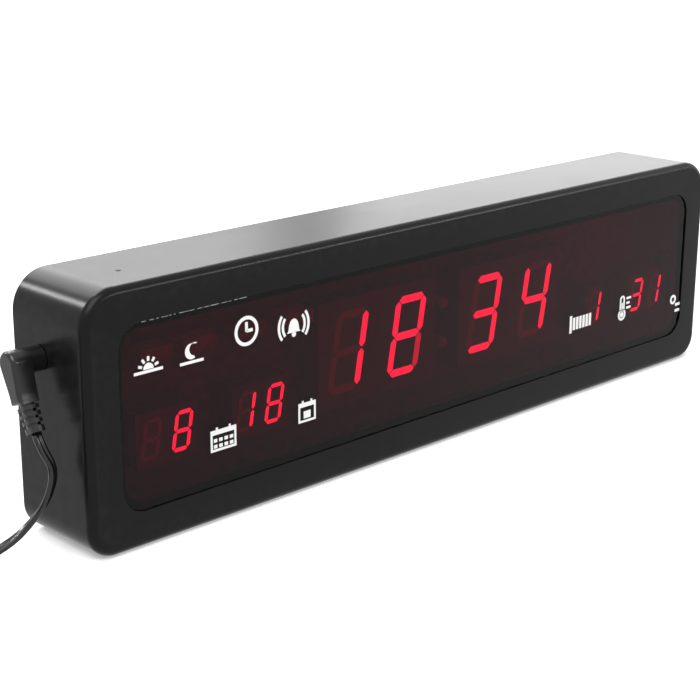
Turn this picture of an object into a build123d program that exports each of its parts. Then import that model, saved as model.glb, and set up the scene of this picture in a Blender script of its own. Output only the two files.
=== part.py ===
"""Digital wall and desk clock: LED digits behind a smoked lens, fed by a lead from a wall adapter.

Frame: millimetres, +X to the right seen from the front, +Y towards the rear, +Z up.
Origin: centre of the case's footprint, on the surface that it stands on.
"""
import os
from dataclasses import dataclass
from math import acos, ceil, cos, dist, pi, radians, sin, sqrt, tan

from build123d import *

# ---------------------------------------------------------------- case
case_width = 330.0
case_height = 89.0
case_depth = 38.5
case_corner = 13.0            # upper corners' radius seen from the front
case_low_corner = 10.0        # lower corners' radius
front_edge = 3.0              # rounding of the front rim
wall = 2.5
front_wall = 2.5


def across(x):
    """Place or pitch along X in proportion to the case's width, as drawn for a width of 330."""
    return x * case_width / 330


def up(z):
    """Height in proportion to the case's height, as drawn for a height of 89."""
    return z * case_height / 89


# ---------------------------------------------------------------- window
window_margin = 12.8          # bezel, from the side of the case to the lens pocket
window_corner = 9.0
lens_thickness = 2.0
lens_recess = 0.6
lens_gap = 0.25               # groove round the lens
ledge_width = 2.5
ledge_thickness = 1.6
pocket_wall = 2.0

# ---------------------------------------------------------------- rear cover
cover_thickness = 2.5
cover_inset = 0.8             # from the rear rim to the cover's face
cover_gap = 0.2
air_slots = 6
air_slot_width = 1.6
air_slot_length = 16.0
air_slot_pitch = 4.0
air_x = across(137.0)
air_z = up(64.0)
sound_hole = 0.9
sound_ring = 3.4
sound_holes = 6
keyhole_x = across(105.0)
keyhole_z = up(64.0)
keyhole_entry = 4.0
keyhole_slot = 2.0
keyhole_rise = 7.0

# ---------------------------------------------------------------- screws and their pillars
screw_shank = 1.4
screw_head = 2.8
screw_head_height = 1.6
screw_slot_width = 0.7
screw_slot_depth = 0.8
thread_gap = 0.05
pillar = 3.6
pillar_inset = 6.5            # from the inner wall to a cover pillar's axis
cover_screw_length = 9.0
head_recess = 1.2
head_gap = 0.3
board_pillar = 2.8
board_pillar_margin = 10.4    # from the outside of the case to the axis
board_pillar_x = across(90.0)
board_screw_length = 7.0

# ---------------------------------------------------------------- board
digit_depth = 7.3             # from the lens's outer face to the digits' faces
module_depth = 8.0
board_thickness = 1.6
board_gap = 1.0               # board's ends to the inner walls
board_margin = 6.0            # board's long edges to the outside of the case
notch_gap = 0.8

# ---------------------------------------------------------------- digits
digit_slant = 10.0
big_digit_height = 30.5
big_digit_width = 16.3
big_digit_bar = 2.9
big_digit_pitch = across(30.4)
big_module_height = 40.0
small_digit_height = 14.2
small_digit_width = 7.5
small_digit_bar = 1.45
small_digit_pitch = across(12.95)
small_module_height = 19.0
small_digit_drop = 11.3       # small digits' centres below the big ones
hour_x = across(-30.5)
minute_x = across(43.5)
month_x = across(-128.5)
date_x = across(-87.9)
weekday_x = across(98.9)
temperature_x = across(135.0)
module_gap = 0.4
bar_gap = 0.22
bar_depth = 2.0
pin_radius = 0.3
pin_hole_gap = 0.15
pin_stand_out = 1.5
pin_edge = 3.0
pins_per_digit = 5

# ---------------------------------------------------------------- other lights
colon_x = across(6.3)
colon_radius = 2.5
colon_length = 8.2
colon_spread = 8.0            # each dot from the middle of the digits
light_width = 13.0
light_height = 5.0
light_x = [across(x) for x in (-131.6, -114.2, -90.6, -69.5)]
light_rise = 17.0             # above the middle of the big digits

# ---------------------------------------------------------------- parts on the rear of the board
clock_chip_x = across(-30.0)
driver_chip_x = (across(25.0), across(-78.0))
chip_z = up(52.0)
clock_chip_size = (18.0, 7.6, 2.3)
driver_chip_size = (10.0, 4.0, 1.7)
chip_lead_pitch = 1.27
chip_lead_reach = 1.4
chip_lead_width = 0.4
crystal_radius = 1.0
crystal_length = 6.0
crystal_x = across(-52.0)
capacitor_radius = 3.15
capacitor_height = 7.7
capacitor_x = (across(-136.0), across(-127.0))
resistor_size = (2.0, 1.25, 0.5)
resistors = 16
resistor_pitch = across(4.5)
resistor_x = across(-56.0)
resistor_z = up(20.0)
sounder_x = across(30.0)
sounder_radius = 6.0
sounder_height = 8.5
sounder_hole = 1.0
sensor_x = air_x
sensor_leg = 0.3
sensor_leg_pitch = 2.0
sensor_reach = 9.0
sensor_bead = 1.6

# ---------------------------------------------------------------- setting keys
key_row_z = up(38.0)
key_first_x = across(-72.0)
key_pitch = across(16.0)
key_count = 4
key_cap = 3.2
key_hole_gap = 0.3
key_stand_out = 1.3
key_flange = 4.6
key_flange_thickness = 1.0
key_rest_gap = 0.2            # flange to the cover's inner face
key_stem = 1.75
key_stem_gap = 0.1
key_travel = 1.0
key_end_gap = 0.2
switch_side = 6.0
switch_height = 4.0
switch_bore = 3.0

# ---------------------------------------------------------------- back-up cell and its cap
cell_x = across(70.0)
cell_z = up(44.5)
cell_radius = 10.0
cell_thickness = 3.2
cell_gap = 0.2
cell_holder_width = 24.0
cell_holder_length = 22.0
cell_holder_height = 4.4
contact_strip = 0.3
contact_strip_width = 4.0
cap_radius = 13.0
cap_thickness = 1.6
cap_gap = 0.25
cap_skirt = 11.1
cap_skirt_wall = 1.8
cap_skirt_gap = 0.3
cap_ledge = 1.7
cap_ring = 15.5
lug_reach = 1.9
lug_thickness = 1.2
lug_angle = 20.0
lug_count = 3
lug_clearance = 3.0           # degrees each side of a lug in its entry
cap_turn = 40.0
coin_slot_length = 14.0
coin_slot_width = 1.8
coin_slot_depth = 0.8

# ---------------------------------------------------------------- supply inlet and plug
inlet_z = up(64.0)
inlet_hole = 3.9
inlet_rise = 6.5              # axis above the rear face of the board
jack_length = 14.0
jack_height = 11.0
jack_width = 9.0
jack_bore = 3.2
jack_bore_depth = 10.0
jack_gap = 0.2
jack_pin = 0.95
jack_pin_setback = 1.0
jack_spring = 0.3
jack_spring_width = 1.0
jack_spring_length = 5.0
barrel_radius = 2.75
barrel_bore = 1.25
barrel_length = 9.5
plug_gap = 0.3                # plug's neck to the outside of the wall
plug_neck = 4.2
plug_neck_length = 5.4
plug_head = 4.4
plug_thickness = 7.0
plug_tail = 3.2
plug_length = 13.0            # axis to the end of the moulded head
plug_lean = 19.5              # degrees from the vertical, towards the front
plug_rounding = 1.4
plug_tail_shift = 0.6         # tail's axis from the middle of the head, towards the case
relief_width = 7.4
relief_depth = 5.6
relief_core = 2.3
relief_ribs = 4
relief_rib = 1.25
relief_slot = 1.0
relief_end = 2.0
relief_bend = 8.0             # degrees that the relief bends on from the head

# ---------------------------------------------------------------- lead, coil and tie
lead_diameter = 3.4
lead_exit_run = 4.8
lead_approach = 12.0
lead_route = [                # out from the wall, back from the inlet, share of the exit's height
    (4.8, -12.55, 0.715),
    (8.0, -12.95, 0.521),
    (10.0, -9.25, 0.369),
    (17.5, -6.75, 0.197),
    (27.5, -2.25, 0.080),
]
coil_out = 63.7               # coil's centre, out from the wall
coil_aside = -2.95            # and back from the inlet
coil_outer = 24.0             # centre line of the outermost turn
coil_start = 51.3             # degrees, where the lead joins the coil
coil_end = 120.0
coil_full_turns = 9
coil_layers = 4
coil_gap = 0.62
samples_per_turn = 4
tie_thickness = 0.4
tie_gap = 0.3
tie_width = 5.0
tie_angle = -100.0
tail_run = 14.0

# ---------------------------------------------------------------- wall adapter
adapter_length = 62.0
adapter_width = 40.0
adapter_height = 28.0
adapter_corner = 5.0
adapter_edge = 2.5
adapter_wall = 2.0
adapter_relief_length = 14.0
adapter_relief_root = 3.4
adapter_relief_tip = 2.3
adapter_relief_neck = 2.7
adapter_relief_gap = 0.05
adapter_collar = 3.8
adapter_collar_thickness = 1.5
mains_pin = 2.0
mains_pin_length = 19.0
mains_pin_spacing = 19.0
mains_pin_setback = 14.0      # from the case's far end
mains_pin_neck = 1.4
pin_sleeve = 1.9
pin_sleeve_length = 10.0      # outside the case
mains_pin_flange = 3.2
mains_pin_flange_thickness = 1.5
mains_pin_gap = 0.05
transformer_size = (26.0, 30.0, 19.0)
transformer_core = (12.0, 34.0, 16.0)
adapter_board_size = (14.0, 30.0, 1.6)
adapter_rib_height = 4.0
adapter_rib_width = 2.0

# ---------------------------------------------------------------- planes that the parts share
front = -case_depth / 2
back = case_depth / 2
middle_z = case_height / 2
lens_front = front + lens_recess
lens_back = lens_front + lens_thickness
ledge_back = lens_back + ledge_thickness
digit_face = lens_front + digit_depth
board_front = digit_face + module_depth
board_back = board_front + board_thickness
cover_back = back - cover_inset
cover_front = cover_back - cover_thickness
window_width = case_width - 2 * window_margin
window_height = case_height - 2 * window_margin
board_length = case_width - 2 * (wall + board_gap)
small_digit_z = middle_z - small_digit_drop
light_z = middle_z + light_rise
inlet_y = board_back + inlet_rise
wall_left = -case_width / 2
cap_face = cover_back - cap_thickness
ledge_front = cap_face - cap_ledge
coil_x = wall_left - coil_out
coil_y = inlet_y + coil_aside
coil_pitch = lead_diameter + coil_gap
coil_floor = lead_diameter / 2 + tie_thickness + tie_gap

BARS = {"1": "bc", "3": "abcdg", "4": "bcfg", "8": "abcdefg", " ": ""}


# ---------------------------------------------------------------- helpers
def upright(face, y_front, y_back):
    """Solid over a sketch drawn as (x, z), from y_front to y_back."""
    return Pos(0, y_back, 0) * Rot(90, 0, 0) * extrude(face, amount=y_back - y_front, dir=(0, 0, 1))


def plate(width, height, radius, y_front, y_back, x=0.0, z=0.0):
    """Upright plate with round corners, centred on (x, z)."""
    return upright(Pos(x, z) * RectangleRounded(width, height, radius), y_front, y_back)


def case_plate(inset, y_front, y_back):
    """Upright plate of the case's outline, drawn in by inset all round."""
    outline = Rectangle(case_width - 2 * inset, case_height - 2 * inset)
    outline = fillet(outline.vertices().group_by(Axis.Y)[-1], case_corner - inset)
    outline = fillet(outline.vertices().group_by(Axis.Y)[0], case_low_corner - inset)
    return upright(Pos(0, middle_z) * outline, y_front, y_back)


def rod(x, z, radius, y_front, y_back):
    """Round bar along Y."""
    return upright(Pos(x, z) * Circle(radius), y_front, y_back)


def rod_x(y, z, radius, x_low, x_high):
    """Round bar along X."""
    return Pos(x_low, y, z) * Rot(0, 90, 0) * extrude(Circle(radius), amount=x_high - x_low)


def rod_z(x, y, radius, z_low, z_high):
    """Round bar along Z."""
    return Pos(x, y, z_low) * extrude(Circle(radius), amount=z_high - z_low)


def block(x_low, x_high, y_low, y_high, z_low, z_high):
    """Box between two corners."""
    size = (x_high - x_low, y_high - y_low, z_high - z_low)
    return Pos((x_low + x_high) / 2, (y_low + y_high) / 2, (z_low + z_high) / 2) * Box(*size)


def sector(x, z, inner, outer, middle, angle, y_front, y_back):
    """Piece of a ring, centred on the direction middle (degrees)."""
    reach = 2 * outer
    half = radians(angle / 2)
    turn = radians(middle)
    rays = [(reach * cos(turn + side * half), reach * sin(turn + side * half)) for side in (-1, 1)]
    wedge = Polygon((0, 0), *rays, align=None)
    return upright(Pos(x, z) * ((Circle(outer) - Circle(inner)) & wedge), y_front, y_back)


def pan_screw(x, z, seat, length):
    """Cross-slotted pan screw along Y with its head behind the plane y=seat."""
    head = rod(x, z, screw_head, seat, seat + screw_head_height)
    floor = seat + screw_head_height - screw_slot_depth
    arm = 0.7 * screw_head
    half = screw_slot_width / 2
    top = seat + screw_head_height
    head -= block(x - arm, x + arm, floor, top, z - half, z + half)
    head -= block(x - half, x + half, floor, top, z - arm, z + arm)
    return head + rod(x, z, screw_shank, seat - length, seat)


def group(solids):
    """One node of separate solids."""
    return Compound(children=[piece.solid() for piece in solids])


# ---------------------------------------------------------------- places of the screws
def cover_screw_places():
    """Six places near the long edges: the corners and the middle."""
    side = case_width / 2 - wall - pillar_inset
    low = wall + pillar_inset
    return [(x, z) for x in (-side, 0.0, side) for z in (low, case_height - low)]


def board_screw_places():
    """Two places along each long edge and one at each end."""
    low = board_pillar_margin
    long_edges = [(x, z) for x in (-board_pillar_x, board_pillar_x) for z in (low, case_height - low)]
    end = case_width / 2 - board_pillar_margin
    return long_edges + [(-end, middle_z), (end, middle_z)]


# ---------------------------------------------------------------- case pieces
def front_housing():
    """Moulded tray: bezel, walls, lens pocket and pillars."""
    shell = case_plate(0, front, back)
    shell = fillet(shell.edges().group_by(Axis.Y)[0], front_edge)
    shell -= case_plate(wall, front + front_wall, back + 1)
    shell += plate(window_width + 2 * pocket_wall, window_height + 2 * pocket_wall,
                   window_corner + pocket_wall, front + front_wall, ledge_back, 0, middle_z)
    for x, z in cover_screw_places():
        shell += rod(x, z, pillar, front + front_wall, cover_front)
    for x, z in board_screw_places():
        shell += rod(x, z, board_pillar, front + front_wall, board_front)
    shell -= plate(window_width, window_height, window_corner, front - 1, lens_back, 0, middle_z)
    shell -= plate(window_width - 2 * ledge_width, window_height - 2 * ledge_width,
                   window_corner - ledge_width, front - 1, ledge_back + 1, 0, middle_z)
    for x, z in cover_screw_places():
        shell -= rod(x, z, screw_shank + thread_gap, cover_front - cover_screw_length, cover_front)
    for x, z in board_screw_places():
        shell -= rod(x, z, screw_shank + thread_gap, board_front - board_screw_length, board_front)
    shell -= rod_x(inlet_y, inlet_z, inlet_hole, wall_left - 1, wall_left + wall + 1)
    return shell


def window_lens():
    """Smoked acrylic pane that sits in the pocket."""
    return plate(window_width - 2 * lens_gap, window_height - 2 * lens_gap, window_corner - lens_gap,
                 lens_front, lens_back, 0, middle_z)


def keyhole_cutter(x):
    """Round entry with a narrower slot above it, through the cover."""
    entry = rod(x, keyhole_z, keyhole_entry, cover_front - 1, cover_back + 1)
    top = keyhole_z + keyhole_rise
    slot = block(x - keyhole_slot, x + keyhole_slot, cover_front - 1, cover_back + 1, keyhole_z, top)
    return entry + slot + rod(x, top, keyhole_slot, cover_front - 1, cover_back + 1)


def key_places():
    """Centres of the setting keys along X."""
    return [key_first_x + number * key_pitch for number in range(key_count)]


def rear_cover():
    """Plate inset in the rear of the case."""
    cover = case_plate(wall + cover_gap, cover_front, cover_back)
    cover += rod(cell_x, cell_z, cap_ring, ledge_front, cover_front)
    for x, z in cover_screw_places():
        cover -= rod(x, z, screw_head + head_gap, cover_back - head_recess, cover_back + 1)
        cover -= rod(x, z, screw_shank + head_gap, cover_front - 1, cover_back)
    for x in key_places():
        cover -= rod(x, key_row_z, key_cap + key_hole_gap, cover_front - 1, cover_back + 1)
    for x in (-keyhole_x, keyhole_x):
        cover -= keyhole_cutter(x)
    cover -= rod(sounder_x, key_row_z, sound_hole, cover_front - 1, cover_back + 1)
    for number in range(sound_holes):
        turn = 2 * pi * number / sound_holes
        x = sounder_x + sound_ring * cos(turn)
        z = key_row_z + sound_ring * sin(turn)
        cover -= rod(x, z, sound_hole, cover_front - 1, cover_back + 1)
    for number in range(air_slots):
        x = air_x + (number - (air_slots - 1) / 2) * air_slot_pitch
        cover -= plate(air_slot_width, air_slot_length, 0.49 * air_slot_width,
                       cover_front - 1, cover_back + 1, x, air_z)
    cover -= rod(cell_x, cell_z, cap_radius + cap_gap, cap_face, cover_back + 1)
    cover -= rod(cell_x, cell_z, cap_skirt + cap_skirt_gap, ledge_front - 1, cap_face)
    for middle in lug_directions(cap_turn):
        cover -= sector(cell_x, cell_z, cap_skirt, cap_skirt + lug_reach + cap_gap, middle,
                        lug_angle + 2 * lug_clearance, ledge_front - 1, cap_face)
    return cover


def lug_directions(turned=0.0):
    """Directions of the bayonet lugs in degrees; the cap opens anticlockwise seen from the rear."""
    return [90 + number * 360 / lug_count - turned for number in range(lug_count)]


def battery_cap():
    """Round cap with a coin slot, a skirt and bayonet lugs."""
    cap = rod(cell_x, cell_z, cap_radius, cap_face, cover_back)
    lug_back = ledge_front - cap_skirt_gap
    lug_front = lug_back - lug_thickness
    skirt = rod(cell_x, cell_z, cap_skirt, lug_front, cap_face)
    skirt -= rod(cell_x, cell_z, cap_skirt - cap_skirt_wall, lug_front, cap_face)
    cap += skirt
    for middle in lug_directions():
        cap += sector(cell_x, cell_z, cap_skirt - cap_skirt_wall / 2, cap_skirt + lug_reach, middle,
                      lug_angle, lug_front, lug_back)
    half_length = coin_slot_length / 2
    half_width = coin_slot_width / 2
    cap -= block(cell_x - half_length, cell_x + half_length, cover_back - coin_slot_depth,
                 cover_back + 1, cell_z - half_width, cell_z + half_width)
    return cap


# ---------------------------------------------------------------- digit modules
@dataclass
class DigitModule:
    """One moulded block of one or two seven-bar digits."""
    x: float
    z: float
    digits: str
    digit_height: float
    digit_width: float
    bar: float
    pitch: float
    height: float

    def width(self):
        """Outer width of the block."""
        return len(self.digits) * self.pitch - module_gap

    def digit_centres(self):
        """Centre of each digit along X."""
        first = self.x - self.pitch * (len(self.digits) - 1) / 2
        return [first + number * self.pitch for number in range(len(self.digits))]

    def bar_ends(self):
        """Ends of the centre line of each bar, from the digit's centre."""
        half_w = (self.digit_width - self.bar) / 2
        half_h = (self.digit_height - self.bar) / 2
        corner = {(i, j): (i * half_w, j * half_h) for i in (-1, 1) for j in (-1, 0, 1)}
        return {"a": (corner[-1, 1], corner[1, 1]), "b": (corner[1, 1], corner[1, 0]),
                "c": (corner[1, 0], corner[1, -1]), "d": (corner[1, -1], corner[-1, -1]),
                "e": (corner[-1, -1], corner[-1, 0]), "f": (corner[-1, 0], corner[-1, 1]),
                "g": (corner[-1, 0], corner[1, 0])}

    def bar_solid(self, centre_x, name):
        """Six-sided resin bar, leaning with the digit."""
        start, end = self.bar_ends()[name]
        length = dist(start, end)
        along = ((end[0] - start[0]) / length, (end[1] - start[1]) / length)
        across = (-along[1], along[0])
        half = self.bar / 2
        steps = [(bar_gap, 0), (half + bar_gap, half), (length - half - bar_gap, half),
                 (length - bar_gap, 0), (length - half - bar_gap, -half), (half + bar_gap, -half)]
        lean = tan(radians(digit_slant))
        outline = []
        for forward, aside in steps:
            x = start[0] + along[0] * forward + across[0] * aside
            z = start[1] + along[1] * forward + across[1] * aside
            outline.append((centre_x + x + lean * z, self.z + z))
        return upright(Polygon(*outline, align=None), digit_face, digit_face + bar_depth)

    def bars(self, lit):
        """All the lit or all the dark bars of the block."""
        solids = []
        for centre_x, digit in zip(self.digit_centres(), self.digits):
            names = [name for name in "abcdefg" if (name in BARS[digit]) == lit]
            solids += [self.bar_solid(centre_x, name) for name in names]
        return solids

    def housing(self):
        """Block with a pocket for each bar."""
        half = self.width() / 2
        body = block(self.x - half, self.x + half, digit_face, board_front,
                     self.z - self.height / 2, self.z + self.height / 2)
        for cutter in self.bars(True) + self.bars(False):
            body -= cutter
        return body

    def pin_places(self):
        """Pins in two rows along the long edges."""
        count = pins_per_digit * len(self.digits)
        span = self.width() - 2 * pin_edge
        row = self.height / 2 - pin_edge
        xs = [self.x - span / 2 + number * span / (count - 1) for number in range(count)]
        return [(x, self.z + side * row) for x in xs for side in (-1, 1)]


def big_module(x, digits):
    """Block of large digits centred on x."""
    return DigitModule(x, middle_z, digits, big_digit_height, big_digit_width, big_digit_bar,
                       big_digit_pitch, big_module_height)


def small_module(x, digits):
    """Block of small digits centred on x."""
    return DigitModule(x, small_digit_z, digits, small_digit_height, small_digit_width,
                       small_digit_bar, small_digit_pitch, small_module_height)


MODULES = {
    "hour": big_module(hour_x, "18"),
    "minute": big_module(minute_x, "34"),
    "month": small_module(month_x, " 8"),
    "date": small_module(date_x, "18"),
    "weekday": small_module(weekday_x, "1"),
    "temperature": small_module(temperature_x, "31"),
}


# ---------------------------------------------------------------- board and what it carries
def display_board():
    """Circuit board with notches round the cover's pillars."""
    half = board_length / 2
    low, high = board_margin, case_height - board_margin
    board = block(-half, half, board_front, board_back, low, high)
    reach = pillar + notch_gap
    for x, z in cover_screw_places():
        x_outer = half + 1 if x > 0 else -half - 1
        x_inner = x - reach if x > 0 else x + reach
        if x == 0:
            x_outer, x_inner = reach, -reach
        z_outer = high + 1 if z > middle_z else low - 1
        z_inner = z - reach if z > middle_z else z + reach
        board -= block(min(x_outer, x_inner), max(x_outer, x_inner), board_front - 1, board_back + 1,
                       min(z_outer, z_inner), max(z_outer, z_inner))
    for x, z in board_screw_places():
        board -= rod(x, z, screw_shank + head_gap, board_front - 1, board_back + 1)
    for module in MODULES.values():
        for x, z in module.pin_places():
            board -= rod(x, z, pin_radius + pin_hole_gap, board_front - 1, board_back + 1)
    return board


def display_pins():
    """Pins of all the blocks, through the board."""
    return group([rod(x, z, pin_radius, board_front, board_back + pin_stand_out)
                  for module in MODULES.values() for x, z in module.pin_places()])


def colon_leds():
    """Two round lamps with domed tips."""
    lamps = []
    for side in (-1, 1):
        z = middle_z + side * colon_spread
        tip = board_front - colon_length
        lamp = rod(colon_x, z, colon_radius, tip + colon_radius, board_front)
        lamps.append(lamp + Pos(colon_x, tip + colon_radius, z) * Sphere(colon_radius))
    return group(lamps)


def indicator_lights():
    """Four rectangular light bars beside their legends."""
    half_w, half_h = light_width / 2, light_height / 2
    return group([block(x - half_w, x + half_w, digit_face, board_front, light_z - half_h, light_z + half_h)
                  for x in light_x])


def chip(x, size):
    """Flat package with leads along both long sides."""
    length, width, height = size
    stand = 0.1
    body = block(x - length / 2, x + length / 2, board_back + stand, board_back + height,
                 chip_z - width / 2, chip_z + width / 2)
    per_side = int((length - chip_lead_pitch) / chip_lead_pitch)
    for number in range(per_side):
        lead_x = x + (number - (per_side - 1) / 2) * chip_lead_pitch
        body += block(lead_x - chip_lead_width / 2, lead_x + chip_lead_width / 2,
                      board_back, board_back + height / 2,
                      chip_z - width / 2 - chip_lead_reach, chip_z + width / 2 + chip_lead_reach)
    return body


def crystal():
    """Small metal can lying on the board."""
    return rod_x(board_back + crystal_radius, chip_z, crystal_radius,
                 crystal_x - crystal_length / 2, crystal_x + crystal_length / 2)


def capacitors():
    """Two upright cans by the inlet."""
    return group([rod(x, chip_z, capacitor_radius, board_back, board_back + capacitor_height)
                  for x in capacitor_x])


def resistor_row():
    """Row of small flat resistors."""
    length, width, height = resistor_size
    return group([block(x - length / 2, x + length / 2, board_back, board_back + height,
                        resistor_z - width / 2, resistor_z + width / 2)
                  for x in (resistor_x + number * resistor_pitch for number in range(resistors))])


def sounder():
    """Round buzzer with its sound hole to the rear."""
    top = board_back + sounder_height
    body = rod(sounder_x, key_row_z, sounder_radius, board_back, top)
    return body - rod(sounder_x, key_row_z, sounder_hole, top - 2 * sounder_hole, top)


def temperature_sensor():
    """Bead on two legs, held out towards the air slots."""
    end = board_back + sensor_reach
    bead = Pos(sensor_x, end, air_z) * Sphere(sensor_bead)
    for side in (-1, 1):
        bead += rod(sensor_x + side * sensor_leg_pitch / 2, air_z, sensor_leg, board_back, end)
    return bead


# ---------------------------------------------------------------- cell, switches and keys
def cell_holder():
    """Open tray for the cell on the rear of the board."""
    half_w, half_l = cell_holder_width / 2, cell_holder_length / 2
    top = board_back + cell_holder_height
    tray = block(cell_x - half_w, cell_x + half_w, board_back, top, cell_z - half_l, cell_z + half_l)
    floor = top - cell_thickness - contact_strip
    return tray - rod(cell_x, cell_z, cell_radius + cell_gap, floor, top + 1)


def cell_contacts():
    """Strip under the cell and clip over its edge."""
    top = board_back + cell_holder_height
    floor = top - cell_thickness - contact_strip
    half = contact_strip_width / 2
    strip = block(cell_x - cell_radius, cell_x + cell_radius, floor, floor + contact_strip,
                  cell_z - half, cell_z + half)
    clip_low = cell_z + cell_radius - contact_strip_width
    clip = block(cell_x - half, cell_x + half, top, top + contact_strip,
                 clip_low, cell_z + cell_holder_length / 2)
    return group([strip, clip])


def coin_cell():
    """Flat round cell lying on its contact strip."""
    top = board_back + cell_holder_height
    return rod(cell_x, cell_z, cell_radius, top - cell_thickness, top)


def key_switches():
    """Switch bodies under the keys, each with a bore for a key's stem."""
    half = switch_side / 2
    top = board_back + switch_height
    bodies = []
    for x in key_places():
        body = block(x - half, x + half, board_back, top, key_row_z - half, key_row_z + half)
        bodies.append(body - rod(x, key_row_z, key_stem + key_stem_gap, top - switch_bore, top))
    return group(bodies)


def setting_key(x):
    """Key with a domed cap, a flange inside the cover and a stem into its switch."""
    cap_back = cover_back + key_stand_out
    flange_back = cover_front - key_rest_gap
    cap = rod(x, key_row_z, key_cap, flange_back, cap_back)
    cap = fillet(cap.edges().group_by(Axis.Y)[-1], key_stand_out / 2)
    flange = rod(x, key_row_z, key_flange, flange_back - key_flange_thickness, flange_back)
    stem_end = board_back + switch_height - switch_bore + key_travel + key_end_gap
    return cap + flange + rod(x, key_row_z, key_stem, stem_end, flange_back)


# ---------------------------------------------------------------- inlet and plug
def inlet_jack():
    """Power inlet on the board, its mouth behind the hole in the wall."""
    mouth = wall_left + wall + jack_gap
    half = jack_width / 2
    body = block(mouth, mouth + jack_length, board_back, board_back + jack_height,
                 inlet_z - half, inlet_z + half)
    return body - rod_x(inlet_y, inlet_z, jack_bore, mouth - 1, mouth + jack_bore_depth)


def inlet_contacts():
    """Centre pin and side spring inside the inlet."""
    mouth = wall_left + wall + jack_gap
    floor = mouth + jack_bore_depth
    pin = rod_x(inlet_y, inlet_z, jack_pin, mouth + jack_pin_setback, floor)
    low = inlet_z - sqrt(jack_bore ** 2 - jack_spring_width ** 2 / 4)
    half = jack_spring_width / 2
    spring = block(floor - jack_spring_length, floor, inlet_y - half, inlet_y + half, low, low + jack_spring)
    return group([pin, spring])


plug_face = wall_left - plug_gap
plug_inner = plug_face - plug_neck_length
plug_outer = plug_inner - plug_thickness
plug_x = (plug_inner + plug_outer) / 2 + plug_tail_shift
relief_length = relief_ribs * relief_slot + (relief_ribs - 1) * relief_rib + relief_end


def at_plug(shape):
    """Carry a shape from the plug's own frame (tail along -Z) to the leaning plug."""
    return Pos(0, inlet_y, inlet_z) * Rot(-plug_lean, 0, 0) * shape


def plug_moulding():
    """Right-angled head with a neck against the case."""
    tail_end = Pos(0, plug_tail - plug_length) * Circle(plug_tail)
    outline = make_hull([Circle(plug_head).edges(), tail_end.edges()])
    outline += Pos(0, (plug_tail - plug_length) / 2 - plug_length / 2) * Rectangle(2 * plug_tail, plug_tail)
    head = Pos(plug_outer, 0, 0) * extrude(Plane.YZ * outline, amount=plug_thickness)
    head = fillet(head.faces().sort_by(Axis.X)[0].edges(), plug_rounding)
    return at_plug(head + rod_x(0, 0, plug_neck, plug_inner, plug_face))


def plug_barrel():
    """Metal barrel that enters the inlet."""
    body = rod_x(inlet_y, inlet_z, barrel_radius, plug_face, plug_face + barrel_length)
    return body - rod_x(inlet_y, inlet_z, barrel_bore, plug_face, plug_face + barrel_length)


def plug_strain_relief():
    """Ribbed sleeve that narrows towards the lead, bent a little at the head."""
    sleeve = rod_z(0, 0, relief_core, -relief_length, relief_core)
    z = 0.0
    for number in range(relief_ribs):
        z -= relief_slot
        height = relief_end if number == relief_ribs - 1 else relief_rib
        share = 1 - 0.12 * number / (relief_ribs - 1)
        width, depth = relief_width * share, relief_depth * share
        rib = extrude(RectangleRounded(depth, width, 0.4 * depth), amount=height)
        sleeve += Pos(0, 0, z - height) * rib
        z -= height
    sleeve = Pos(plug_x, 0, -plug_length) * Rot(-relief_bend, 0, 0) * sleeve
    head = rod_z(plug_x, 0, plug_head, -plug_length, 0)
    return at_plug(sleeve - head)


# ---------------------------------------------------------------- lead and coil
def unit(vector):
    """Vector of length one."""
    return vector / vector.length


def coil_turns():
    """Turns from the lead's end of the coil to the adapter's."""
    return coil_full_turns + (coil_end - coil_start) / 360


def coil_point(turn):
    """Centre line of the coil after so many turns: in and out again, layer by layer."""
    per_layer = coil_turns() / coil_layers
    phase = (turn / per_layer) % 2
    inward = phase if phase < 1 else 2 - phase
    radius = coil_outer - coil_pitch * per_layer * inward
    layer = 0.0
    for crossing in range(1, coil_layers):
        share = (turn - crossing * per_layer) / 0.5 + 0.5
        share = min(max(share, 0.0), 1.0)
        layer += (1 - cos(pi * share)) / 2
    angle = radians(coil_start + 360 * turn)
    return Vector(coil_x + radius * cos(angle), coil_y + radius * sin(angle), coil_floor + coil_pitch * layer)


def coil_direction(turn):
    """Direction of the centre line; level at the two ends of the coil."""
    step = 0.01
    return unit(coil_point(turn + step) - coil_point(turn - step))


def end_direction(turn):
    """Level direction at an end of the coil."""
    angle = radians(coil_start + 360 * turn)
    return Vector(-sin(angle), cos(angle), 0)


def biarc(start, start_dir, end, end_dir):
    """Two arcs that join two points with given directions."""
    chord = end - start
    both = start_dir + end_dir
    spread = 2 * (1 - start_dir.dot(end_dir))
    reach = (-chord.dot(both) + sqrt(chord.dot(both) ** 2 + spread * chord.dot(chord))) / spread
    joint = (start + end + (start_dir - end_dir) * reach) / 2
    first = TangentArc(start, joint, tangent=start_dir)
    second = TangentArc(joint, end, tangent=end_dir * -1, tangent_from_first=False)
    return [first, second]


def coil_path():
    """Straight end, turns as arcs, straight end."""
    total = coil_turns()
    count = ceil(total * samples_per_turn)
    turns = [total * number / count for number in range(count + 1)]
    points = [coil_point(turn) for turn in turns]
    ways = [end_direction(0)] + [coil_direction(turn) for turn in turns[1:-1]] + [end_direction(total)]
    edges = [Line(coil_entry(), points[0])]
    for number in range(count):
        edges += biarc(points[number], ways[number], points[number + 1], ways[number + 1])
    edges.append(Line(points[-1], coil_exit()))
    return Wire(edges)


def coil_entry():
    """Where the supply lead meets the coil."""
    return coil_point(0) - end_direction(0) * lead_diameter


def coil_exit():
    """Where the coil hands over to the tail."""
    total = coil_turns()
    return coil_point(total) + end_direction(total) * lead_diameter


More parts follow.
